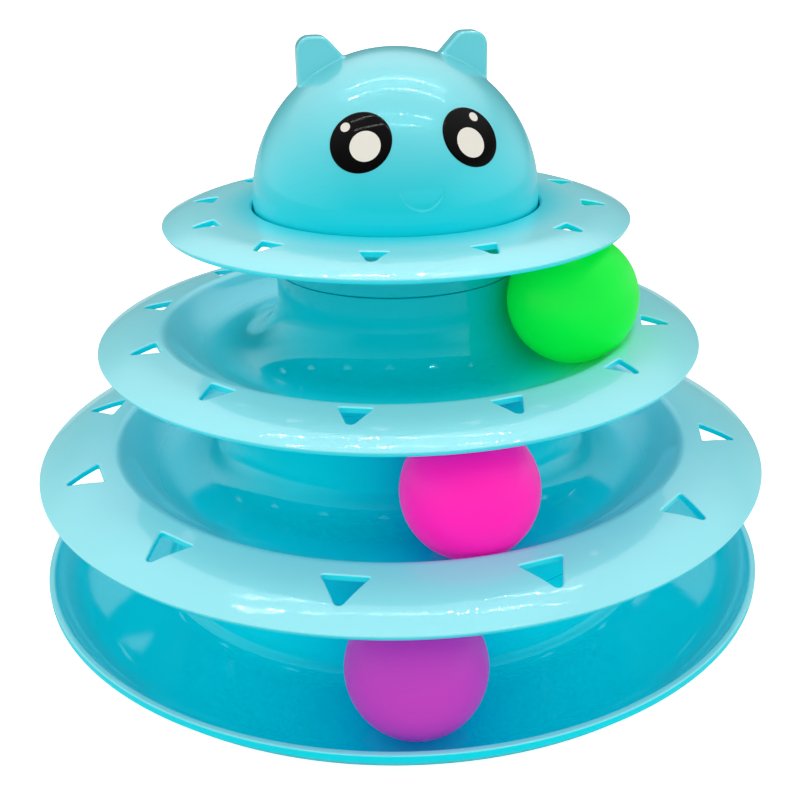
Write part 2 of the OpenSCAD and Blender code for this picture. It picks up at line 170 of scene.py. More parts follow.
def moulded_plastic(name, colour, gloss, grain, spread, ior=1.5, glow=0.0, pale=None,
                    mirror=(1, 1, 1, 1)):
    """Injection-moulded plastic. Its colour drifts a little, by spread, with the flow of the
    melt. Its skin has a soft waviness, which its roughness follows too, and a fine grain. With
    glow it gives off light of its own, painted light for a fluorescent pigment that also evens
    out its shading, and mirror tints what the skin mirrors. An attribute of painted shade takes
    its share off the brightness, where shade falls. With pale, two more attributes work on it: a
    painted sheen mixes the colour to pale where light falls from above, and satin makes the skin
    dull under a faint clear gloss, rippled where the painted sheen is full."""
    material = bpy.data.materials.new(name)
    material.use_nodes = True
    tree = material.node_tree
    tree.nodes.clear()
    place = wire(tree, "ShaderNodeTexCoord", {}, {}).outputs["Object"]
    flow = wire(tree, "ShaderNodeTexNoise", {}, {"Vector": place, "Scale": 22.0, "Detail": 2.0})
    wave = wire(tree, "ShaderNodeTexNoise", {}, {"Vector": place, "Scale": 120.0, "Detail": 1.0})
    fine = wire(tree, "ShaderNodeTexNoise", {}, {"Vector": place, "Scale": 2600.0, "Detail": 2.0})
    drift_and_shade = ramp(tree, flow.outputs["Fac"], 0.3, 0.7, 1 - spread, 1 + spread)
    # painted shade: a point attribute takes its share off the brightness where shade falls
    painted_shade = wire(tree, "ShaderNodeAttribute", {"attribute_name": "painted_shade"}, {})
    left = calc(tree, "SUBTRACT", 1.0, painted_shade.outputs["Fac"])
    drift_and_shade = calc(tree, "MULTIPLY", drift_and_shade, left)
    rough = ramp(tree, wave.outputs["Fac"], 0.3, 0.7, gloss * 0.85, gloss * 1.15)
    # painted sheen: a point attribute mixes the colour towards the pale one where light falls from
    # above
    if pale:
        painted_sheen = wire(tree, "ShaderNodeAttribute", {"attribute_name": "painted_sheen"}, {}).outputs["Fac"]
        satin = wire(tree, "ShaderNodeAttribute", {"attribute_name": "satin"}, {}).outputs["Fac"]
        colour = wire(tree, "ShaderNodeMix", {"data_type": "RGBA"},
                      {0: painted_sheen, 6: colour, 7: pale}).outputs[2]
        rough = wire(tree, "ShaderNodeMix", {"data_type": "FLOAT"},
                     {0: satin, 2: rough, 3: SATIN_ROUGHNESS}).outputs[0]
    tint = wire(tree, "ShaderNodeHueSaturation", {}, {"Color": colour, "Value": drift_and_shade}).outputs[0]
    swell = wire(tree, "ShaderNodeBump", {}, {"Height": wave.outputs["Fac"], "Strength": 0.25,
                 "Distance": 0.0001}).outputs[0]
    skin = wire(tree, "ShaderNodeBump", {}, {"Height": fine.outputs["Fac"], "Strength": grain,
                "Distance": 0.00002, "Normal": swell}).outputs[0]
    body = wire(tree, "ShaderNodeBsdfPrincipled", {}, {"Base Color": tint, "Roughness": rough,
                "Normal": skin, "IOR": ior, "Emission Color": tint, "Emission Strength": glow,
                "Specular Tint": mirror})
    if pale:
        ripple = wire(tree, "ShaderNodeTexNoise", {}, {"Vector": place, "Scale": 420.0, "Detail": 1.0})
        ripple = wire(tree, "ShaderNodeBump", {}, {
            "Height": ripple.outputs["Fac"], "Strength": ramp(tree, painted_sheen, 0.6, 1.0, 0.0, 1.0),
            "Distance": 0.00005, "Normal": swell}).outputs[0]
        tree.links.new(calc(tree, "MULTIPLY", satin, SATIN_COAT), body.inputs["Coat Weight"])
        tree.links.new(ripple, body.inputs["Coat Normal"])
        body.inputs["Coat Roughness"].default_value = 0.03
    wire(tree, "ShaderNodeOutputMaterial", {}, {"Surface": body.outputs[0]})
    return material


def dressed(piece, material, body, slot, *nodes):
    """Gives a piece its material and the body it rides on, and hides the solids it stands for. slot is
    not used.
    """
    piece.data.materials.append(material)
    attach(piece, body)
    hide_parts(*nodes)


def grown(value, start, end):
    """t^2 (3 - 2t), with t from 0 at start to 1 at end."""
    t = np.clip((value - start) / (end - start), 0, 1)
    return t * t * (3 - 2 * t)


def everywhere(value):
    """The same value at every point."""
    return lambda r, z, up: value + 0 * r


def toned(piece, painted_sheen, satin=everywhere(0), painted_shade=everywhere(0)):
    """Writes three attributes, from 0 to 1: painted sheen, a paler colour where light falls from
    above, satin, and painted shade, a darkening where shade falls. Each is a function of the
    radius, the height and the upward part of the normal of the points."""
    count = len(piece.data.vertices)
    points, normals = np.empty(count * 3), np.empty(count * 3)
    piece.data.vertices.foreach_get("co", points)
    piece.data.vertices.foreach_get("normal", normals)
    x, y, z = points.reshape(-1, 3).T / MM
    for name, amount in (("painted_sheen", painted_sheen), ("satin", satin), ("painted_shade", painted_shade)):
        value = amount(np.hypot(x, y), z, normals[2::3])
        piece.data.attributes.new(name, "FLOAT", "POINT").data.foreach_set("value", value)
    return piece


def on_plate(start, end, rim):
    """Painted sheen on a plate's upper side, a paler colour where light falls from above: none
    within start and full past end, with most of it on the rim's edge as well."""
    return lambda r, z, up: grown(r, start, end) * np.maximum(
        grown(up, 0.3, 0.6), 0.8 * grown(r, rim - 0.9, rim - 0.3) * grown(up, -0.7, -0.1))


def hub_top(hub_r, floor, depth):
    """Corners of a hub's spigot and shoulder, at a depth under the outer skin."""
    seam, spigot = floor + SEAM_H, hub_r - WALL - PLUG_GAP
    return [[spigot - depth, seam + SPIGOT_H], [spigot - depth, seam - depth],
            [hub_r - depth, seam - depth]]


shell = moulded_plastic("shell_plastic", SHELL_COLOUR, 0.08, 0.08, 0.02, ior=1.42,
                        pale=PAINTED_SHEEN_COLOUR, mirror=MIRROR_TINT)
turn = np.degrees(np.arccos(1 - TRAY_RIM_H / TRAY_BEND_R))
bend = (TRAY_R - WALL - TRAY_BEND_R * np.sin(np.radians(turn)), TRAY_FLOOR + TRAY_BEND_R)
sweep = (TRAY_HUB_R + TRAY_SWEEP_R, TRAY_FLOOR + TRAY_SWEEP_R)
rim = TRAY_FLOOR + TRAY_RIM_H
under = arc(bend, TRAY_BEND_R + WALL, 270 + turn, 270, 24)
under = under[under[:, 1] < rim - RIM_COLLAR_H - 1]
tray = joined((hub_top(TRAY_HUB_R, TRAY_FLOOR, 0), 0.35),
              (arc(sweep, TRAY_SWEEP_R, 180, 270, 16), 0),
              (arc(bend, TRAY_BEND_R, 270, 270 + turn, 24)[:-1], 0),
              (arc(bend, TRAY_BEND_R, 270 + turn, 270 + turn, 1), 0.5), ([TRAY_R, rim], 0.6),
              ([TRAY_R, rim - RIM_COLLAR_H], 0.5), ([TRAY_R - 1, rim - RIM_COLLAR_H], 0.3),
              (under, 0), (arc(sweep, TRAY_SWEEP_R + WALL, 270, 180, 16), 0),
              (hub_top(TRAY_HUB_R, TRAY_FLOOR, WALL)[::-1], 0.3))
sheets = [(turned(eased(*tray)), None)]
ring_in, ring_out = PAD_R + 0.1, PAD_R + 1.5
ring_low, ring_top = 1.9, 4.0
pad_ring = [[ring_in, ring_low], [ring_out, ring_low], [ring_out, ring_top], [ring_in, ring_top]]
pad_ring = turned(eased(pad_ring, [0.3, 0.4, 0, 0]))[::6]
pad_turns = np.radians((np.arange(PAD_COUNT) + 0.5) * 360 / PAD_COUNT)
pad_places = [[PAD_CIRCLE_R * np.cos(a), PAD_CIRCLE_R * np.sin(a), 0] for a in pad_turns]
sheets += [(pad_ring + place, None) for place in pad_places]
# painted sheen on the upper side of the tray's rim, where light falls from above
tray = toned(moulding("tray", sheets), on_plate(TRAY_R - 10, TRAY_R, TRAY_R + 3))
dressed(tray, shell, "tray", "shell_plastic", "base_tray")

# foot pads
# Six round non-slip pads of soft pale rubber, pressed into the rings under the tray, where
# they keep the toy from sliding.
PAD_H = 3.45
rubber = moulded_plastic("pad_rubber", (0.66, 0.70, 0.72, 1), 0.55, 0.6, 0.02)
pad = eased([[0.01, 0], [PAD_R, 0], [PAD_R, PAD_H], [0.01, PAD_H]], [0, 0.5, 0.2, 0])
pad = turned(pad)[::6]
for number, place in enumerate(pad_places, 1):
    piece = moulding(f"pad_{number}", [(pad + place, None)])
    dressed(piece, rubber, "tray", "pad_rubber", f"foot_pad_{number}")

# purple ball
# A blow-moulded hollow ball of satin plastic, 41 mm across, loose on the tray's track. The
# parting line of its two halves runs round it as a fine seam between two faint grooves.
BALL_R = 20.5
BALL_LIFT = 0.3
HUB_GAP = 0.5


def ball(name, centre, seam_axis):
    """Sphere of the radius BALL_R about centre, (sin u cos v, sin u sin v, cos u), shrunk by
    groove beside the parting line, which is the great circle square to seam_axis."""
    u = np.radians(np.linspace(0, 180, 121))[:, None]
    v = np.radians(np.arange(193) % 192 * 360 / 192)
    n = np.stack([np.sin(u) * np.cos(v), np.sin(u) * np.sin(v), np.cos(u) + 0 * v], -1)
    away = np.abs(n @ np.array(seam_axis)) * BALL_R
    groove, beside, width = 0.05, 0.55, 0.3
    r = BALL_R - groove * np.exp(-((away - beside) / width) ** 2)
    return moulding(name, [(n * r[..., None] + centre, None)])


def ball_centre(hub_r, floor, turn):
    """Middle of a ball beside a hub, at a turn from the front towards +X:
    (r sin a, -r cos a, floor + lift + ball), with r = hub + ball + gap."""
    track_r = hub_r + BALL_R + HUB_GAP
    a = np.radians(turn)
    return np.array([track_r * np.sin(a), -track_r * np.cos(a), floor + BALL_LIFT + BALL_R])


def tilted(side, up):
    """Unit vector at side degrees from the front towards +X and up degrees above level."""
    s, u = np.radians(side), np.radians(up)
    return np.array([np.sin(s) * np.cos(u), -np.cos(s) * np.cos(u), np.sin(u)])


# glow is painted light: the ball shines by itself, standing in for its fluorescent pigment
purple = moulded_plastic("ball_purple", (0.49, 0.045, 0.48, 1), 0.42, 0.5, 0.03, ior=1.3, glow=0.2)
piece = ball("purple_ball", ball_centre(TRAY_HUB_R, TRAY_FLOOR, 2), tilted(55, 20))
dressed(piece, purple, "purple_ball", "ball_purple", "ball_purple")

# lower track
# The second storey, one moulding: a collar that drops over the tray's spigot, a rolled ball
# track, a lip, a flange with twelve triangular holes, and its own hub with the next spigot.
LOWER_FLOOR = TRAY_FLOOR + STOREY_H
LOWER_HUB_R = 56.0
CLIMB = 45.0
LIP_ROUND = 4.0
FALL = 5.5
EDGE_FALL = 28.0
BOWL_R = BALL_R + 0.8
HOLES = 12
CELL = 8
OUTER_LAND = 1.6
# the painted sheen on a flange grows from this far inside the lip to full this far past it
PAINTED_SHEEN_BEFORE, PAINTED_SHEEN_PAST = 22.0, 5.0
SATIN_BEFORE = 8.0


def lip_radius(track_r, lip_h):
    """Radius at which the lip's rounding has its centre, where the rolled outer side runs
    into it at the slope CLIMB:
    track + ((lip_h - round - bowl) cos CLIMB + bowl + round) / sin CLIMB."""
    c = np.radians(CLIMB)
    return track_r + ((lip_h - LIP_ROUND - BOWL_R) * np.cos(c) + BOWL_R + LIP_ROUND) / np.sin(c)


def curve_centre(c, r, fall, rim_r, curve_r):
    """Centre of the curve that ends at the rim, where a straight fall joins it to the
    rounding r about c."""
    f = np.radians(fall)
    x = rim_r - curve_r * np.sin(np.radians(EDGE_FALL))
    run = x - c[0] + (curve_r - r) * np.sin(f)
    return x, c[1] - (curve_r - r) * np.cos(f) - run * np.tan(f)


def plate(lip, lip_round, fall, rim_r, curve_r, depth):
    """Skin of a flange from its lip's rounding to its rim, at a depth under its top."""
    curve = curve_centre(lip, lip_round, fall, rim_r, curve_r)
    return np.concatenate([arc(lip, lip_round - depth, 90, 90 - fall, 5),
                           arc(curve, curve_r - depth, 90 - fall, 90 - EDGE_FALL, 32)])


def hole_rows(hole_r, length, land):
    """Radii of the rows of cells that a hole and the land round it take up. They are CELL
    columns wide to each side of its middle, and as many rows long as they are wide."""
    return np.linspace(hole_r - land, hole_r + length + OUTER_LAND, 2 * CELL + 1)


def hole_sheets(w, length, hole_r, rows, top, under, turn):
    """The twelve holes of a flange, each a sheet of rings from the border of its cells to the
    hole: in over the top, round the edge, down the wall and out again underneath.
    A ring follows the hole's outline at a distance: circle centre + (radius + distance) n, with
    n turning round three circles, one in each corner."""
    tip, nose = 1.6, 0.45
    lean = np.arccos(tip / np.hypot(w / 2, length - tip)) - np.arctan2(length - tip, w / 2)
    n2 = np.array([np.cos(lean), np.sin(lean)])
    corner = np.array([w / 2, 0]) - nose * (n2 + [0, -1]) / (1 - n2[1])
    centres = np.array([corner * [-1, 1], corner, [0, length - tip], corner * [-1, 1]])
    k = np.arange(65)
    keys = [0, 3, 13, 16, 19, 34, 46, 61, 64]
    lean = np.degrees(lean)
    normal = np.interp(k, keys, [-135 - lean / 2, -90, -90, (lean - 90) / 2, lean, lean,
                                 180 - lean, 180 - lean, 225 - lean / 2])
    circle = np.interp(k, keys, [0, 0, 1, 1, 1, 2, 2, 3, 3])
    at = np.stack([np.interp(circle, range(4), centres[:, i]) for i in (0, 1)], -1)
    radius = np.interp(circle, range(4), [nose, nose, tip, nose])
    n = np.stack([np.cos(np.radians(normal)), np.sin(np.radians(normal))], -1)

    def ring(distance):
        """Points round the hole at a distance outside its outline."""
        return at + (radius + distance)[:, None] * n + [0, hole_r]

    # the border, anticlockwise from the inner side, in columns and rows of the flange
    c, n_rows = CELL, 2 * CELL
    column = np.concatenate([np.arange(c, -c, -1), np.full(n_rows, -c), np.arange(-c, c),
                             np.full(n_rows + 1, c)])
    row = np.concatenate([np.zeros(n_rows, int), np.arange(n_rows), np.full(n_rows, n_rows),
                          np.arange(n_rows, -1, -1)])
    a = np.radians(column * 360 / COLUMNS)
    border = rows[row, None] * np.stack([-np.sin(a), np.cos(a)], -1)

    def level(xy, skin):
        """Heights of a skin at points seen from above."""
        return np.interp(np.hypot(*xy.T), skin[:, 0], skin[:, 1])

    rings = []
    soft, under_soft = 0.55, 0.3
    for share in np.linspace(0, 1, 7):
        xy = border + (ring(soft + 0.35) - border) * share
        rings.append((xy, level(xy, top)))
    for t in np.radians(np.linspace(0, 90, 7)):
        xy = ring(soft * (1 - np.sin(t)))
        rings.append((xy, level(xy, top) - soft * (1 - np.cos(t))))
    for t in np.radians(np.linspace(90, 0, 5)):
        xy = ring(under_soft * (1 - np.sin(t)))
        rings.append((xy, level(xy, under) + under_soft * (1 - np.cos(t))))
    for share in np.linspace(1, 0, 5):
        xy = border + (ring(under_soft + 0.3) - border) * share
        rings.append((xy, level(xy, under)))
    xy = np.array([p for p, z in rings])
    z = np.array([h for p, h in rings])
    sheets = []
    for a in np.radians(180 - turn + np.arange(HOLES) * 360 / HOLES):
        x = xy[..., 0] * np.cos(a) - xy[..., 1] * np.sin(a)
        y = xy[..., 0] * np.sin(a) + xy[..., 1] * np.cos(a)
        sheets.append((np.stack([x, y, z], -1), None))
    return sheets


def holed(outline, rows, top, under, turn, w, length, hole_r):
    """An outline carried round, with the cells of the twelve holes left out of its top and its
    underside and the holes' own sheets in their place."""
    grid = turned(outline, 270 - turn)
    keep = np.ones((COLUMNS, grid.shape[1] - 1), bool)
    near = (np.arange(COLUMNS) + CELL) % (COLUMNS // HOLES) < 2 * CELL
    for skin in (top, under):
        ends = [[r, np.interp(r, skin[:, 0], skin[:, 1])] for r in rows[[0, -1]]]
        i, j = sorted(int(np.linalg.norm(outline - e, axis=1).argmin()) for e in ends)
        keep[near, i:j] = False
    return [(grid, keep)] + hole_sheets(w, length, hole_r, rows, top, under, turn)


def fitted(skin, rows):
    """A skin whose points between the first and the last of some radii lie at those radii."""
    outside = skin[(skin[:, 0] < rows[0] - 0.05) | (skin[:, 0] > rows[-1] + 0.05)]
    inside = np.stack([rows, np.interp(rows, skin[:, 0], skin[:, 1])], -1)
    return np.concatenate([outside[outside[:, 0] < rows[0]], inside, outside[outside[:, 0] > rows[0]]])


def collar(hub_r, below, top):
    """Ring that stands on the shoulder of the hub under it, whose floor is at below, and ends
    at a height top inside its own piece."""
    seam = below + SEAM_H + PLUG_GAP
    outline = [[hub_r - WALL, top], [hub_r, top], [hub_r, seam], [hub_r - WALL, seam]]
    return turned(eased(outline, [0, 0, 0.4, 0.3])), None


def storey(name, node, hub_r, below_r, floor, sweep_r, lip_h, rim_r, curve_r, hole, turn, hub_shade):
    """One storey: hub, sweep, rolled track, lip, flange and edge, the same again at the depth
    of the wall, and the collar under it. hole is width, length, radius and the land inside it,
    and the last argument is the share of painted shade on the hub and the inner side of the track."""
    w, length, hole_r, land = hole
    track_r = hub_r + BALL_R + HUB_GAP
    lip = (lip_radius(track_r, lip_h), floor + lip_h - LIP_ROUND)
    sweep, bowl = (hub_r + sweep_r, floor + sweep_r), (track_r, floor + BOWL_R)
    rows = hole_rows(hole_r, length, land)
    skins, walls = [], []
    for depth in (0, WALL):
        skin = plate(lip, LIP_ROUND, FALL, rim_r, curve_r, depth)
        skins.append(skin)
        walls.append(np.concatenate([arc(sweep, sweep_r + depth, 180, 270, 14)[:-1],
                                     arc(bowl, BOWL_R + depth, 270, 270 + CLIMB, 14),
                                     arc(lip, LIP_ROUND - depth, 90 + CLIMB, 90, 9)[:-1],
                                     fitted(skin, rows)]))
    top, under = walls
    outline = eased(*joined((hub_top(hub_r, floor, 0), 0.35), (top[:-1], 0), (top[-1], 0.35),
                            (under[-1], 0.5), (under[-2::-1], 0),
                            (hub_top(hub_r, floor, WALL)[::-1], 0.3)))
    sheets = holed(outline, rows, *skins, turn, w, length, hole_r)
    sheets.append(collar(below_r, floor - STOREY_H, floor - 1))
    # painted sheen on the flange's upper side and rim edge, where light falls from above
    painted_sheen_r = lip[0] - PAINTED_SHEEN_BEFORE
    piece = toned(moulding(name, sheets), on_plate(painted_sheen_r, lip[0] + PAINTED_SHEEN_PAST, rim_r),
                  lambda r, z, up: grown(r, painted_sheen_r, lip[0] - SATIN_BEFORE),
                  # painted shade on the hub and the inner side of the track, under the storey above
                  lambda r, z, up: hub_shade * (1 - grown(r, track_r - 14, track_r + 2)))
    dressed(piece, shell, name, "shell_plastic", node)


storey("lower_storey", "lower_track", hub_r=LOWER_HUB_R, below_r=TRAY_HUB_R, floor=LOWER_FLOOR,
       sweep_r=14.0, lip_h=10.8, rim_r=123.28, curve_r=50.0, hole=(14.0, 11.0, 103.58, 2.2),
       turn=8.5, hub_shade=0.14)

# pink ball
# The same hollow blow-moulded ball in neon pink, loose on the lower track. Its parting line
# lies another way.
# glow is painted light: the ball shines by itself, standing in for its fluorescent pigment
pink = moulded_plastic("ball_pink", (0.98, 0.010, 0.42, 1), 0.40, 0.5, 0.03, ior=1.3, glow=0.25)
piece = ball("pink_ball", ball_centre(LOWER_HUB_R, LOWER_FLOOR, 15), tilted(-60, 35))
dressed(piece, pink, "pink_ball", "ball_pink", "ball_pink")

# middle track
# The third storey, one moulding of the same form and smaller, plugged over the lower track's
# spigot. Its holes are smaller too.
MIDDLE_FLOOR = LOWER_FLOOR + STOREY_H
MIDDLE_HUB_R = 40.0
storey("middle_storey", "middle_track", hub_r=MIDDLE_HUB_R, below_r=LOWER_HUB_R,
       floor=MIDDLE_FLOOR, sweep_r=17.0, lip_h=8.1, rim_r=99.78, curve_r=38.0,
       hole=(10.0, 8.6, 81.18, 1.15), turn=8.5, hub_shade=0.36)

# green ball
# The same hollow blow-moulded ball in neon green, loose on the middle track under the brim,
# which leaves it about a millimetre.
# glow is painted light: the ball shines by itself, standing in for its fluorescent pigment
green = moulded_plastic("ball_green", (0.0, 0.84, 0.050, 1), 0.40, 0.5, 0.03, ior=1.3, glow=0.2)
piece = ball("green_ball", ball_centre(MIDDLE_HUB_R, MIDDLE_FLOOR, 64), tilted(-40, 60))
dressed(piece, green, "green_ball", "ball_green", "ball_green")

# brim
# The hat-like top ring: a seat with an inner ledge that carries the head, a sloping plate
# with twelve triangular holes, and a collar that drops over the middle hub's spigot.
LEDGE = 132.1
BRIM_TOP = 136.2
SEAT_R = 46.6
BRIM_R = 75.5
BORE_R = 33.0
SEAT_ROUND = 1.0
BRIM_FALL = 2.5
BRIM_CURVE_R = 30.0
BRIM_HOLE_W, BRIM_HOLE_L, BRIM_HOLE_R = 8.5, 7.4, 60.0
BRIM_LAND = 1.8
BRIM_TURN = 6.0
edge = (SEAT_R + SEAT_ROUND, BRIM_TOP - SEAT_ROUND)
rows = hole_rows(BRIM_HOLE_R, BRIM_HOLE_L, BRIM_LAND)
skins = [plate(edge, SEAT_ROUND, BRIM_FALL, BRIM_R, BRIM_CURVE_R, depth) for depth in (0, WALL)]
top, under = [fitted(skin, rows) for skin in skins]
under = under[under[:, 0] > SEAT_R + 3]
under_z = np.interp(SEAT_R + WALL, skins[1][:, 0], skins[1][:, 1])
outline = eased(*joined(([BORE_R, LEDGE], 0.4), ([SEAT_R, LEDGE], 0.5),
                        (arc(edge, SEAT_ROUND, 180, 95, 8), 0), (top[:-1], 0), (top[-1], 0.35),
                        (under[-1], 0.5), (under[-2::-1], 0), ([SEAT_R + WALL, under_z], 0.5),
                        ([SEAT_R + WALL, LEDGE - WALL], 0.5), ([BORE_R, LEDGE - WALL], 0.4)))
sheets = holed(outline, rows, *skins, BRIM_TURN, BRIM_HOLE_W, BRIM_HOLE_L, BRIM_HOLE_R)
sheets.append(collar(MIDDLE_HUB_R, MIDDLE_FLOOR, LEDGE - 1))
# painted sheen on the brim's upper side and rim edge
brim = toned(moulding("brim", sheets), on_plate(SEAT_R, SEAT_R + 6, BRIM_R), everywhere(1),
             # painted shade on the collar and the bore, under the brim's plate
             lambda r, z, up: 0.37 * (1 - grown(r, 41, 45)))
dressed(brim, shell, "brim", "shell_plastic", "top_brim")

# head
# A hollow dome with two flat-faced ears and a shallow smiling mouth, one moulding, whose
# skirt stands in the brim's seat. The face looks 10 degrees past the front towards +X.
DOME_R = 46.1
DOME_Z = 137.8
HEAD_WALL = 2.4
SKIRT_WALL, SKIRT_H = 2.0, 5.5
FACE_TURN = 10.0
MOUTH_UP = 16.0
MOUTH_W, MOUTH_H, MOUTH_DEPTH = 13.4, 7.6, 0.8


def steps(parts):
    """Values in steps: each part is (from, to, step), its last value left to the next part."""
    return np.concatenate([np.arange(a, b - s / 2, s) for a, b, s in parts] + [[parts[-1][1]]])


def face_side(p):
    """Turns points of the face's frame, which looks along -Y, to where the face looks."""
    a = np.radians(FACE_TURN)
    x, y, z = np.moveaxis(p, -1, 0)
    return np.stack([x * np.cos(a) - y * np.sin(a), x * np.sin(a) + y * np.cos(a), z], -1)


def mouth(side, up):
    """Depth of the mouth, on the plane that touches the dome there: a half disc, 13.4 mm wide
    and 7.6 mm high, that sinks from nothing along its straight top, as t^2 (3 - 2t), and ends
    at the bottom in a short wall."""
    s, u, m = np.radians(side), np.radians(up), np.radians(MOUTH_UP)
    x = DOME_R * np.sin(s) * np.cos(u)
    y = DOME_R * (np.sin(u) * np.cos(m) - np.cos(s) * np.cos(u) * np.sin(m))
    half = MOUTH_W / 2
    disc = (np.hypot(x / half, y / MOUTH_H) - 1) * MOUTH_H
    sink = np.clip(-y / (0.8 * MOUTH_H), 0, 1)
    wall = np.clip((0.3 - disc) / 0.7, 0, 1)
    return MOUTH_DEPTH * sink * sink * (3 - 2 * sink) * wall * wall * (3 - 2 * wall)


side = steps([(-180, -20, 2), (-20, -15, 1), (-15, -12, 0.5), (-12, 12, 0.25), (12, 15, 0.5),
              (15, 20, 1), (20, 180, 2)])
up = steps([(0, 3, 1), (3, 4, 0.5), (4, 20, 0.25), (20, 22, 0.5), (22, 26, 1), (26, 90, 1.6)])
s, u = side[:, None], up[None, :]
r = DOME_R - np.where(np.abs(s) < 20, mouth(s, u), 0)
s, u = np.radians(s), np.radians(u)
skin = np.stack([r * np.sin(s) * np.cos(u), -r * np.cos(s) * np.cos(u), r * np.sin(u)], -1)
skin[:, -1] = [0, 0, DOME_R]
skin[-1] = skin[0]
inner = skin * ((DOME_R - HEAD_WALL) / np.linalg.norm(skin, axis=-1, keepdims=True))
# the skirt goes down from the inner foot of the dome, round its own foot, and up outside
inner_r = np.linalg.norm(inner[0, 0, :2])
skirt = np.array([[inner_r, 0], [DOME_R - SKIRT_WALL, 0.4 - SKIRT_H],
                  [DOME_R - SKIRT_WALL + 0.4, -SKIRT_H], [DOME_R - 0.5, -SKIRT_H],
                  [DOME_R - 0.1, 0.2 - SKIRT_H], [DOME_R, 0.6 - SKIRT_H], [DOME_R, 0]])
a = np.radians(side)[:, None]
skirt = np.stack([skirt[:, 0] * np.sin(a), -skirt[:, 0] * np.cos(a), skirt[:, 1] + 0 * a], -1)
skirt[-1] = skirt[0]
sheets = [(face_side(g) + [0, 0, DOME_Z], None) for g in (skin, inner, skirt)]

EAR_OUT = 0.65 * DOME_R
EAR_TOP = DOME_R + 3.9
EAR_ROUND = 4.3
EAR_FLAT = 2.6
EAR_LEAN = 43.0
EAR_FRONT, EAR_BACK = -1.5, 7.5
EAR_FRONT_EASE, EAR_BACK_EASE = 1.3, 2.4
EAR_FILLET = 0.9


def ear_line(inset, y, lift):
    """Outline of an ear, drawn in by inset, in the plane at y: from the dome up the leaning
    inner edge, over two rounded corners and down the upright outer edge to the dome.
    lift raises its two ends along the edges. Returns the curve and the two feet."""
    r = EAR_ROUND - inset
    lean = np.radians(EAR_LEAN)
    outer = np.array([EAR_OUT - EAR_ROUND, EAR_TOP - EAR_ROUND])
    inner = outer - [EAR_FLAT, 0]
    left = arc(inner, r, 180 - EAR_LEAN, 90, 12)
    right = arc(outer, r, 90, 0, 12)
    reach = DOME_R ** 2 - y * y
    down = np.array([-np.sin(lean), -np.cos(lean)])
    b = left[0] @ down
    t = -b - np.sqrt(b * b - left[0] @ left[0] + reach)
    feet = left[0] + t * down, np.array([right[-1, 0], np.sqrt(reach - right[-1, 0] ** 2)])
    rise = np.linspace(0, 1, 10)[:, None]
    up_left = feet[0] - lift * down
    up_right = feet[1] + [0, lift]
    line = np.concatenate([up_left + (left[0] - up_left) * rise[:-1], left, right,
                           right[-1] + (up_right - right[-1]) * rise[1:]])
    return np.insert(line, 1, y, axis=1), np.insert(np.array(feet), 1, y, axis=1)


def ear(sign):
    """One ear: the band round its edge, its two faces and the small fillet at its foot."""
    lift = EAR_FILLET
    t = np.radians(np.linspace(0, 90, 6))
    inset, reach = 1 - np.sin(t), 1 - np.cos(t)
    front = np.stack([EAR_FRONT_EASE * inset, EAR_FRONT + EAR_FRONT_EASE * reach,
                      90 - np.degrees(t)], -1)
    back = np.stack([EAR_BACK_EASE * inset, EAR_BACK - EAR_BACK_EASE * reach,
                     np.degrees(t) - 90], -1)[::-1]
    flat = np.linspace(EAR_FRONT + EAR_FRONT_EASE, EAR_BACK - EAR_BACK_EASE, 5)[1:-1]
    cuts = np.concatenate([front, np.stack([0 * flat, flat, 0 * flat], -1), back])
    lines = [ear_line(inset, y, lift) for inset, y in cuts[:, :2]]
    band = np.array([line for line, feet in lines])
    sheets = [band]
    share = np.linspace(0, 1, 15)
    rings, grounds, facings = [], [], []
    for which, facing in ((0, -1), (-1, 1)):
        line, feet = band[which], lines[which][1]
        half = len(line) // 2
        left = line[:half + 1]
        right = np.concatenate([line[::-1][:half], [line[half]]])
        y = line[0, 1]
        ground_x = feet[0, 0] + (feet[1, 0] - feet[0, 0]) * share
        ground = np.stack([ground_x, y + 0 * share, np.sqrt(DOME_R ** 2 - y * y - ground_x ** 2)], -1)
        bottom = ground + [0, 0, lift]
        bottom[0], bottom[-1] = line[0], line[-1]
        t = share[None, :, None]
        rise = np.linspace(0, 1, len(left))[:, None, None]
        patch = (1 - t) * left[:, None] + t * right[:, None]
        patch = patch + (1 - rise) ** 3 * (bottom - patch[0])[None]
        sheets.append(patch)
        rings.append(bottom)
        grounds.append(ground)
        facings.append(np.tile([0.0, facing, 0.0], (len(share), 1)))
    angle = np.radians(cuts[:, 2])
    ends = []
    for end, x in ((0, -1), (-1, 1)):
        ends.append((np.array([line[end] for line, feet in lines]),
                     np.array([feet[end] for line, feet in lines]),
                     np.stack([x * np.cos(angle), -np.sin(angle), 0 * angle], -1)))
    # round the foot: along the front, back past the outer side, along the back, and home
    upper = np.concatenate([rings[0], ends[1][0], rings[1][::-1], ends[0][0][::-1]])
    foot = np.concatenate([grounds[0], ends[1][1], grounds[1][::-1], ends[0][1][::-1]])
    way = np.concatenate([facings[0], ends[1][2], facings[1][::-1], ends[0][2][::-1]])
    normal = foot / DOME_R
    way = way - (way * normal).sum(1, keepdims=True) * normal
    way /= np.linalg.norm(way, axis=1, keepdims=True)
    base = foot + lift * way
    base *= (DOME_R - 0.03) / np.linalg.norm(base, axis=1, keepdims=True)
    t = np.linspace(0, 1, 7)[:, None, None]
    sheets.append((1 - t) ** 2 * base + 2 * t * (1 - t) * foot + t * t * upper)
    below = base * ((DOME_R - 1.2) / DOME_R)
    sheets.append(np.stack([base, below, below * 0 + below.mean(0)]))
    return [(face_side(g * [sign, 1, 1]) + [0, 0, DOME_Z], None) for g in sheets]


sheets += ear(-1) + ear(1)
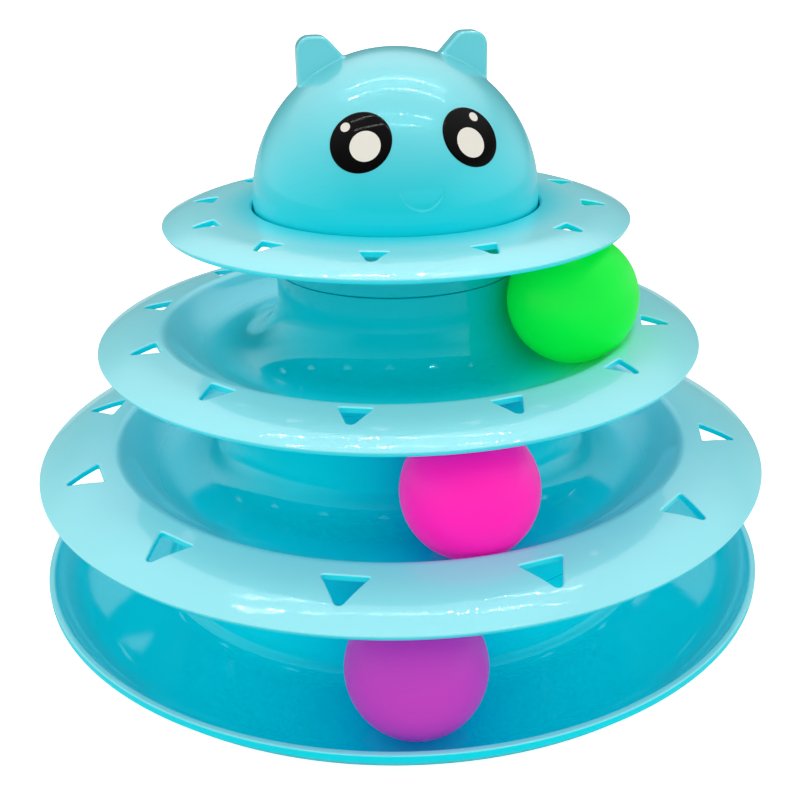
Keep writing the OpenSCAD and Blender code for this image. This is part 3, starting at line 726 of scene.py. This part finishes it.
# painted sheen on the dome, paler towards its top
head = toned(moulding("head", sheets), lambda r, z, up: 0.64 * grown(z, DOME_Z, DOME_Z + 36),
             # the second value is painted shade over the whole head, which makes it a fifth darker
             everywhere(0.75), everywhere(0.20))
dressed(head, shell, "head", "shell_plastic", "cat_head")

# eyes
# Two round stuck-on foils on the dome, glossy black with a white pupil and a small white
# glint printed on them.
EYE_R = 9.25
EYE_SIDE = 24.6
EYE_UP = 31.5
PUPIL_R, PUPIL_DOWN = 0.508 * EYE_R, 0.119 * 2 * EYE_R
GLINT_R, GLINT_UP = 0.173 * EYE_R, 0.351 * 2 * EYE_R
FOIL_LOW, FOIL_TOP = 0.02, 0.32
SPOT_LOW, SPOT_TOP = 0.2, 0.345


def on_dome(p, side, up):
    """Carries points drawn about +Z, with Y up the face, to a place on the dome."""
    t, s = np.radians(90 - up), np.radians(FACE_TURN + side)
    x, y, z = np.moveaxis(p, -1, 0)
    y, z = y * np.cos(t) - z * np.sin(t), y * np.sin(t) + z * np.cos(t)
    return np.stack([x * np.cos(s) - y * np.sin(s), x * np.sin(s) + y * np.cos(s), z + DOME_Z], -1)


def foil(radius, centre, low, high, side, up):
    """Disc that follows the dome: rings about centre, z = sqrt((DOME_R + h)^2 - x^2 - y^2),
    with h from high on its face to low at its rounded rim and on its back."""
    ease = 0.3
    flat_r = radius - ease
    grow = np.concatenate([np.linspace(0, flat_r, 24), flat_r + ease * np.sin(np.radians([30, 60, 90])),
                           [radius, radius - 0.05]])
    height = np.concatenate([np.full(24, high), low + (high - low) * np.cos(np.radians([30, 60, 88])),
                             [low, low]])
    a = np.radians(np.arange(129) % 128 * 360 / 128)
    x = centre[0] + grow[:, None] * np.cos(a)
    y = centre[1] + grow[:, None] * np.sin(a)
    z = np.sqrt((DOME_R + height[:, None]) ** 2 - x * x - y * y)
    rings = np.stack([x, y, z], -1)
    middle_z = np.sqrt((DOME_R + low) ** 2 - centre[0] ** 2 - centre[1] ** 2)
    floor = rings[-1:] * 0 + [centre[0], centre[1], middle_z]
    return on_dome(np.concatenate([rings, floor]), side, up)


black = moulded_plastic("eye_black", (0.002, 0.002, 0.002, 1), 0.06, 0.1, 0.0, ior=1.12)
white = moulded_plastic("eye_white", (0.90, 0.86, 0.77, 1), 0.3, 0.1, 0.01, ior=1.2)
for label, sign, glint_turn in (("left", -1, 50), ("right", 1, 29)):
    side = sign * EYE_SIDE
    a = np.radians(-sign * glint_turn)
    lean = np.array([-np.sin(a), np.cos(a)])
    disc = foil(EYE_R, (0, 0), FOIL_LOW, FOIL_TOP, side, EYE_UP)
    piece = moulding(f"eye_foil_{label}", [(disc, None)])
    dressed(piece, black, "head", "eye_black", f"eye_{label}")
    spots = [foil(PUPIL_R, lean * -PUPIL_DOWN, SPOT_LOW, SPOT_TOP, side, EYE_UP),
             foil(GLINT_R, lean * GLINT_UP, SPOT_LOW, SPOT_TOP, side, EYE_UP)]
    piece = moulding(f"eye_spots_{label}", [(spot, None) for spot in spots])
    dressed(piece, white, "head", "eye_white", f"eye_white_{label}")

# studio
# A white paper floor, a white tent round it that the world stands for, four rows of small
# bulbs overhead, which only the gloss sees, and two soft keys at the front's left and right,
# which it doesn't see. Lengths are in metres.
FLOOR_HALF = 4.0
PAPER_GREY, PAPER_GLOW = 0.82, 0.84
TENT_WALLS, TENT_ROOF, SOFT_BOXES = 1.3, 1.5, 1.4
LIGHT_LOW, LIGHT_HIGH = 1.48, 0.54
BULB_COUNT = 42
BULB_SHARE = 0.34
BULB_ROW = (0.60, 0.006)
BULB_POWER = 0.7
BULB_H = 0.675
BULB_PLACES = (0.169, 0.057, -0.163, -0.253)
KEY_SIZE = (0.8, 0.6)
KEY_POWER = 0.7
KEY_ASIDE, KEY_BEFORE, KEY_H = 0.7, 0.65, 1.30

floor = bpy.data.meshes.new("floor")
corners = [(FLOOR_HALF * x, FLOOR_HALF * y, 0) for x, y in ((-1, -1), (1, -1), (1, 1), (-1, 1))]
floor.from_pydata(corners, [], [(0, 1, 2, 3)])
floor = bpy.data.objects.new("floor", floor)
bpy.context.scene.collection.objects.link(floor)
material = bpy.data.materials.new("floor_white")
material.use_nodes = True
tree = material.node_tree
tree.nodes.clear()
path = wire(tree, "ShaderNodeLightPath", {}, {})
seen = calc(tree, "MAXIMUM", path.outputs["Is Camera Ray"], path.outputs["Is Transmission Ray"])
paper = wire(tree, "ShaderNodeBsdfDiffuse", {}, {"Color": (PAPER_GREY, PAPER_GREY, PAPER_GREY, 1)})
glow = wire(tree, "ShaderNodeEmission", {}, {"Color": (1, 1, 1, 1), "Strength": PAPER_GLOW})
both = wire(tree, "ShaderNodeAddShader", {}, {0: paper.outputs[0], 1: glow.outputs[0]})
mix = wire(tree, "ShaderNodeMixShader", {}, {0: seen, 1: paper.outputs[0], 2: both.outputs[0]})
wire(tree, "ShaderNodeOutputMaterial", {}, {"Surface": mix.outputs[0]})
floor.data.materials.append(material)

world = bpy.data.worlds.new("surround")
bpy.context.scene.world = world
world.use_nodes = True
tree = world.node_tree
tree.nodes.clear()
path = wire(tree, "ShaderNodeLightPath", {}, {})
way = wire(tree, "ShaderNodeTexCoord", {}, {}).outputs["Generated"]
part = wire(tree, "ShaderNodeSeparateXYZ", {}, {"Vector": way})
across, along, height = [part.outputs[axis] for axis in "XYZ"]
# mirrored in the gloss, the tent's walls are dark below and bright above, and its roof
# brightens towards the zenith, both less so on the camera's side
lean = calc(tree, "MULTIPLY_ADD", across, -0.06, height)
walls = ramp(tree, lean, 0.33, 0.52, 0.0, TENT_WALLS, "SMOOTHSTEP")
walls = calc(tree, "MULTIPLY", walls, ramp(tree, along, -1.0, 0.0, 0.1, 1.0))
roof = ramp(tree, height, 0.45, 0.85, 0.08, TENT_ROOF, "SMOOTHSTEP")
roof = calc(tree, "MULTIPLY", roof, ramp(tree, along, -0.9, -0.2, 0.1, 1.0))
tent = calc(tree, "ADD", walls, roof)
# two soft boxes stand low at the left and the right, and again only the gloss sees them
boxes = ramp(tree, calc(tree, "ABSOLUTE", across), 0.45, 1.0, 0.0, SOFT_BOXES, "SMOOTHSTEP")
boxes = calc(tree, "MULTIPLY", boxes, ramp(tree, height, 0.25, 0.55, 1.0, 0.0, "SMOOTHSTEP"))
tent = calc(tree, "ADD", tent, boxes)
# what lights the object is strongest near the horizon, so that it reaches into the tracks
plain = ramp(tree, height, 0.1, 0.75, LIGHT_LOW, LIGHT_HIGH, "SMOOTHSTEP")
gloss = wire(tree, "ShaderNodeMix", {"data_type": "FLOAT"},
             {"Factor": path.outputs["Is Glossy Ray"], "A": plain, "B": tent})
seen = calc(tree, "MAXIMUM", path.outputs["Is Camera Ray"], path.outputs["Is Transmission Ray"])
strength = wire(tree, "ShaderNodeMix", {"data_type": "FLOAT"},
                {"Factor": seen, "A": gloss.outputs[0], "B": 1.0})
glow = wire(tree, "ShaderNodeBackground", {}, {"Color": (1, 1, 1, 1), "Strength": strength.outputs[0]})
wire(tree, "ShaderNodeOutputWorld", {}, {"Surface": glow.outputs[0]})


def shine_in_bulbs(data):
    """Has a lamp's light come from a row of small spots along its length. Each fills
    BULB_SHARE of its step, and is brighter by 1 / BULB_SHARE, so the power stays."""
    data.use_nodes = True
    tree = data.node_tree
    tree.nodes.clear()
    spot = wire(tree, "ShaderNodeNewGeometry", {}, {}).outputs["Parametric"]
    along = wire(tree, "ShaderNodeSeparateXYZ", {}, {"Vector": spot}).outputs["X"]
    step = calc(tree, "FRACT", calc(tree, "MULTIPLY", along, float(BULB_COUNT)))
    off = calc(tree, "ABSOLUTE", calc(tree, "SUBTRACT", step, 0.5))
    lit = calc(tree, "MULTIPLY", calc(tree, "LESS_THAN", off, BULB_SHARE / 2), 1 / BULB_SHARE)
    glow = wire(tree, "ShaderNodeEmission", {}, {"Color": (1, 1, 1, 1), "Strength": lit})
    wire(tree, "ShaderNodeOutputLight", {}, {"Surface": glow.outputs[0]})


def stood(item, x, y, z, place):
    """Links an object and stands it at a place, with its axes along x, y and z."""
    bpy.context.scene.collection.objects.link(item)
    axes = np.column_stack([x, y, z, place])
    item.matrix_world = Matrix(np.vstack([axes, [0, 0, 0, 1]]).tolist())


def lamp(name, size, power, place, target):
    """An area lamp of a size in metres and a power in watts that faces target from place."""
    data = bpy.data.lights.new(name, "AREA")
    data.shape = "RECTANGLE"
    data.size, data.size_y = size
    data.energy = power
    item = bpy.data.objects.new(name, data)
    z = np.subtract(place, target) / np.linalg.norm(np.subtract(place, target))
    x = np.cross([0, 1, 0], z)
    x /= np.linalg.norm(x)
    stood(item, x, np.cross(z, x), z, place)
    item.visible_camera = False
    return item


for number, y in enumerate(BULB_PLACES, 1):
    row = lamp(f"bulbs_{number}", BULB_ROW, BULB_POWER, (0, y, BULB_H), (0, y, 0))
    shine_in_bulbs(row.data)
    row.visible_diffuse = False
for number, x in enumerate((-KEY_ASIDE, KEY_ASIDE), 1):
    key = lamp(f"key_{number}", KEY_SIZE, KEY_POWER, (x, -KEY_BEFORE, KEY_H), (0, 0, 0.08))
    key.visible_glossy = False

# camera
# A 50.5 mm lens in front of the tower, 0.36 m from its axis and 0.22 m up. It looks 23.25
# degrees down and is rolled by a degree, as a fit to the rims of the photograph gave.
CAMERA_PLACE = (0, -0.3621, 0.2205)
CAMERA_TURN, CAMERA_DOWN, CAMERA_ROLL = np.radians([0.04, 23.25, -1.01])
data = bpy.data.cameras.new("camera")
data.sensor_fit = "HORIZONTAL"
data.sensor_width = 36.0
data.lens = 50.535
camera = bpy.data.objects.new("camera", data)
look = np.array([np.sin(CAMERA_TURN) * np.cos(CAMERA_DOWN), np.cos(CAMERA_TURN) * np.cos(CAMERA_DOWN),
                 -np.sin(CAMERA_DOWN)])
level = np.array([np.cos(CAMERA_TURN), -np.sin(CAMERA_TURN), 0])
upright = np.cross(level, look)
right = np.cos(CAMERA_ROLL) * level + np.sin(CAMERA_ROLL) * upright
up = np.cos(CAMERA_ROLL) * upright - np.sin(CAMERA_ROLL) * level
stood(camera, right, up, -look, CAMERA_PLACE)
bpy.context.scene.camera = camera
bpy.context.scene.view_settings.view_transform = "Standard"
